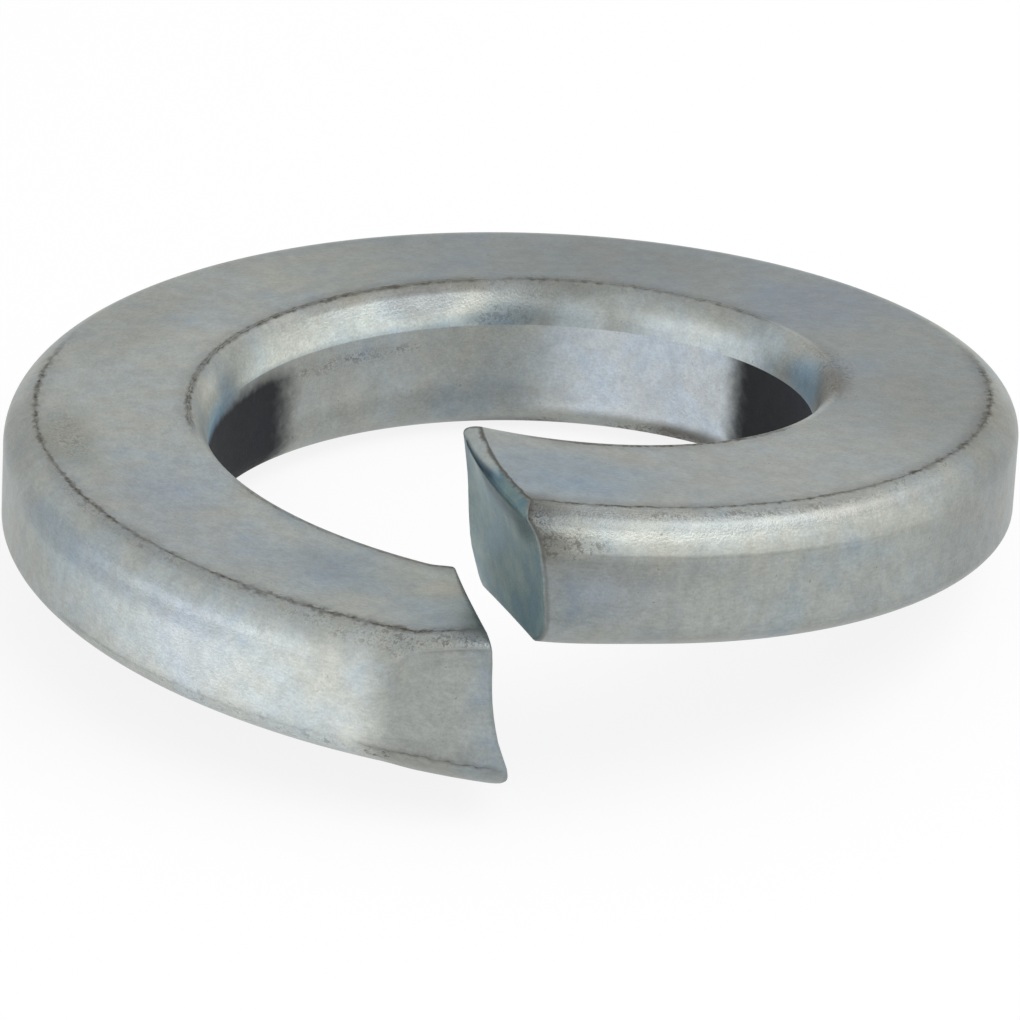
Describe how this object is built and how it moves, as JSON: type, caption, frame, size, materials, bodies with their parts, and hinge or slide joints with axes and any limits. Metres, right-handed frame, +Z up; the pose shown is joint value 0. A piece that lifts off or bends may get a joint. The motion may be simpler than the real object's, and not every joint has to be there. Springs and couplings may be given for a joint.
{
  "type": "spring lock washer",
  "caption": "Helical spring lock washer: a single turn of tapered, round-edged steel wire, sheared across on the skew and sprung open so that its ends stand apart in height.",
  "frame": {"origin": "on the surface that the washer rests on, below the middle of its outline", "axes": "+Z up from that surface, +Y from the cut at the front towards the unbroken back, +X from the low end towards the high end's side; the bore leans 6.97 degrees from +Z, as the washer settles"},
  "size_m": [0.0218, 0.022, 0.0069],
  "materials": {
    "zinc_steel": "dull bluish zinc plate with a fine grain, cloudy patches and dark grime along the edges"
  },
  "bodies": {
    "root": {"spring_washer": "zinc_steel"}
  },
  "joints": []
}
